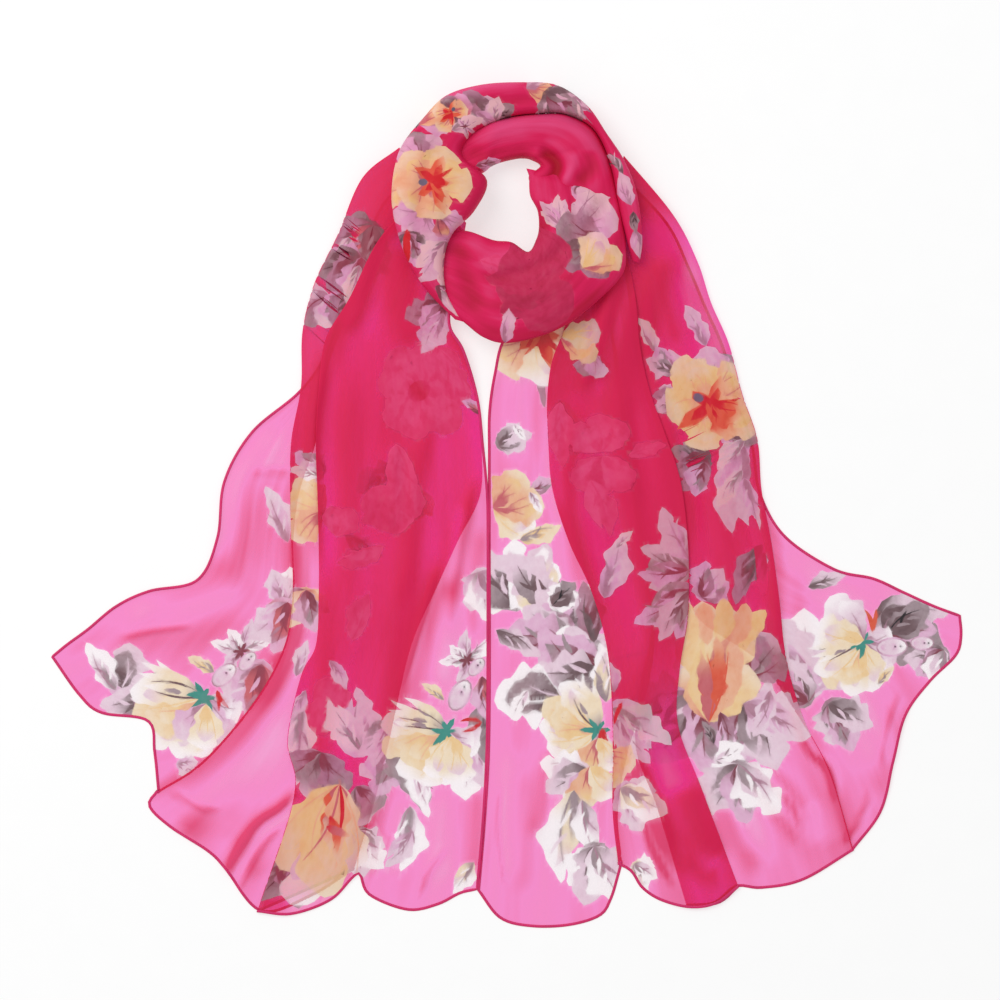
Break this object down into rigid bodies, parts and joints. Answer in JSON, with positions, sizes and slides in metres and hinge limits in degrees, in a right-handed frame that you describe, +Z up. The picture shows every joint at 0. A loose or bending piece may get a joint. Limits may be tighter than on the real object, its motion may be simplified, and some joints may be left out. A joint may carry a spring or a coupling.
{
  "type": "scarf",
  "caption": "Sheer printed scarf laid flat: a bunched loop round the neck opening, and pleated tails with a rolled hem that fan out below it.",
  "frame": {"origin": "on the surface that the scarf lies on, under the middle of the whole", "axes": "+X to the right across the tails, +Y from the hems to the loop, +Z up from the surface"},
  "size_m": [0.664, 0.6158, 0.0379],
  "materials": {
    "sheer_cloth": "sheer pink chiffon",
    "gathered_cloth": "gathered pink chiffon",
    "hem_thread": "rolled and overlocked edge"
  },
  "bodies": {
    "root": {"left_tail": "sheer_cloth", "right_tail": "sheer_cloth", "left_tail_hem": "hem_thread", "right_tail_hem": "hem_thread", "loop_outer_wrap": "gathered_cloth", "loop_front_wrap": "gathered_cloth", "loop_back_wrap": "gathered_cloth"}
  },
  "joints": []
}
